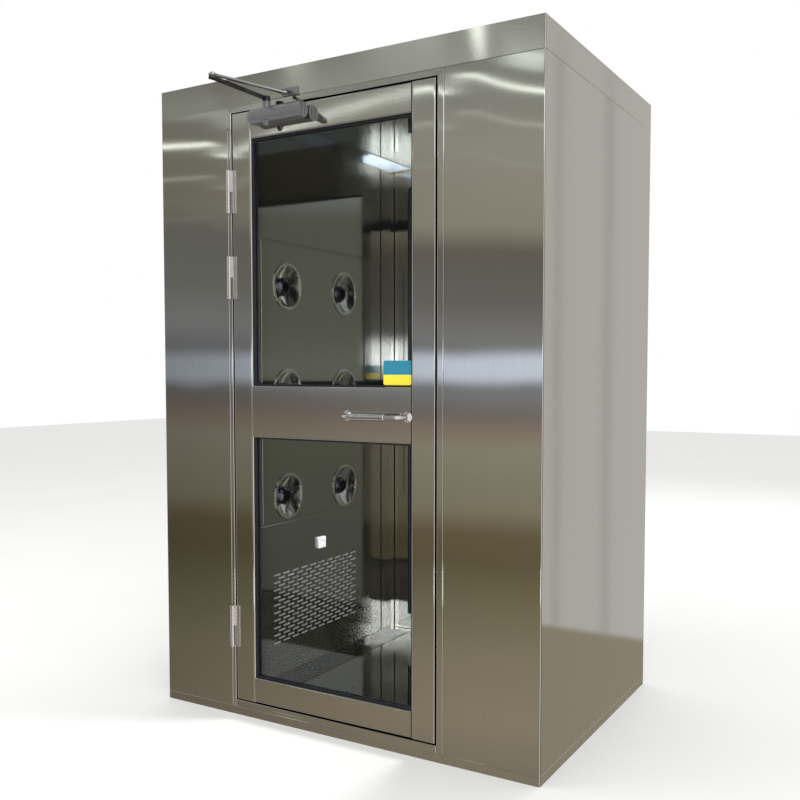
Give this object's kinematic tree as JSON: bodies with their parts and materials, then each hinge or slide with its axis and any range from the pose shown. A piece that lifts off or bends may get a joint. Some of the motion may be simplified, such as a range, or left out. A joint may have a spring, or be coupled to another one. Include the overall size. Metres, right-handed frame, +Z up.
{
  "type": "cleanroom air shower",
  "caption": "Walk-through stainless air shower cabin with a glazed closer-fitted door at each end, air nozzles and slotted return panels inside.",
  "frame": {"origin": "centre of the cabinet's footprint on the floor", "axes": "+Z up; -Y towards the front door seen in the picture; +X to the right when facing the front door"},
  "size_m": [1.4, 1.576, 2.1],
  "materials": {
    "brushed_steel": "satin, fine vertical grain",
    "inner_wall_steel": "satin, fine vertical grain",
    "mirror_steel": "bright polished sheet",
    "polished_nozzle": "polished",
    "polished_fitting": "polished",
    "closer_metal": "silver-grey enamel",
    "glass": "clear",
    "gasket_rubber": "matt",
    "sensor_plastic": "matt white",
    "notice_plate": "two plain colours, no lettering"
  },
  "bodies": {
    "cabinet": {"base_frame": "brushed_steel", "beam_sensors": "sensor_plastic", "ceiling_tray": "mirror_steel", "floor_tray": "mirror_steel", "front_closer_shoe": "closer_metal", "front_frame_knuckles": "polished_fitting", "front_head": "brushed_steel", "front_jambs": "brushed_steel", "front_panels": "brushed_steel", "front_sill": "brushed_steel", "header_band": "brushed_steel", "nozzle_balls": "polished_nozzle", "nozzle_bowls": "polished_nozzle", "nozzle_panels": "inner_wall_steel", "nozzle_rings": "polished_nozzle", "rear_closer_shoe": "closer_metal", "rear_frame_knuckles": "polished_fitting", "rear_head": "brushed_steel", "rear_jambs": "brushed_steel", "rear_panels": "brushed_steel", "rear_sill": "brushed_steel", "return_air_panels": "inner_wall_steel", "roof_panel": "brushed_steel", "side_panels": "brushed_steel", "upper_wall_panels": "inner_wall_steel", "wall_strips": "inner_wall_steel"},
    "front_door": {"front_door_stiles": "brushed_steel", "front_door_rails": "brushed_steel", "front_door_glass": "glass", "front_glass_gaskets": "gasket_rubber", "front_door_knuckles": "polished_fitting", "front_closer_body": "closer_metal", "front_pull_handle": "polished_fitting", "notice_plate": "notice_plate"},
    "front_main_arm": {"front_closer_main_arm": "closer_metal"},
    "front_forearm": {"front_closer_forearm": "closer_metal"},
    "rear_door": {"rear_door_stiles": "brushed_steel", "rear_door_rails": "brushed_steel", "rear_door_glass": "glass", "rear_glass_gaskets": "gasket_rubber", "rear_door_knuckles": "polished_fitting", "rear_closer_body": "closer_metal", "rear_pull_handle": "polished_fitting"},
    "rear_main_arm": {"rear_closer_main_arm": "closer_metal"},
    "rear_forearm": {"rear_closer_forearm": "closer_metal"}
  },
  "joints": [
    {"name": "front_door_hinge", "type": "hinge", "parent": "cabinet", "child": "front_door", "pos_m": [-0.396, -0.51, 1], "axis": [0, 0, -1], "range_deg": [0, 90], "stiffness_Nm_per_rad": 4, "springref_deg": -20.05},
    {"name": "front_main_arm_pivot", "type": "hinge", "parent": "front_door", "child": "front_main_arm", "pos_m": [-0.216, -0.534, 2], "axis": [0, 0, 1], "range_deg": [0, 159]},
    {"name": "front_forearm_pivot", "type": "hinge", "parent": "cabinet", "child": "front_forearm", "pos_m": [-0.15, -0.53, 2.01], "axis": [0, 0, 1], "range_deg": [0, 6]},
    {"name": "rear_door_hinge", "type": "hinge", "parent": "cabinet", "child": "rear_door", "pos_m": [0.396, 0.51, 1], "axis": [0, 0, -1], "range_deg": [0, 90], "stiffness_Nm_per_rad": 4, "springref_deg": -20.05},
    {"name": "rear_main_arm_pivot", "type": "hinge", "parent": "rear_door", "child": "rear_main_arm", "pos_m": [0.216, 0.534, 2], "axis": [0, 0, 1], "range_deg": [0, 159]},
    {"name": "rear_forearm_pivot", "type": "hinge", "parent": "cabinet", "child": "rear_forearm", "pos_m": [0.15, 0.53, 2.01], "axis": [0, 0, 1], "range_deg": [0, 6]}
  ],
  "couplings": [
    {"joint": "front_main_arm_pivot", "follows": "front_door_hinge", "ratio": 1.76},
    {"joint": "front_forearm_pivot", "follows": "front_door_hinge", "ratio": 0.057},
    {"joint": "rear_main_arm_pivot", "follows": "rear_door_hinge", "ratio": 1.76},
    {"joint": "rear_forearm_pivot", "follows": "rear_door_hinge", "ratio": 0.057}
  ]
}
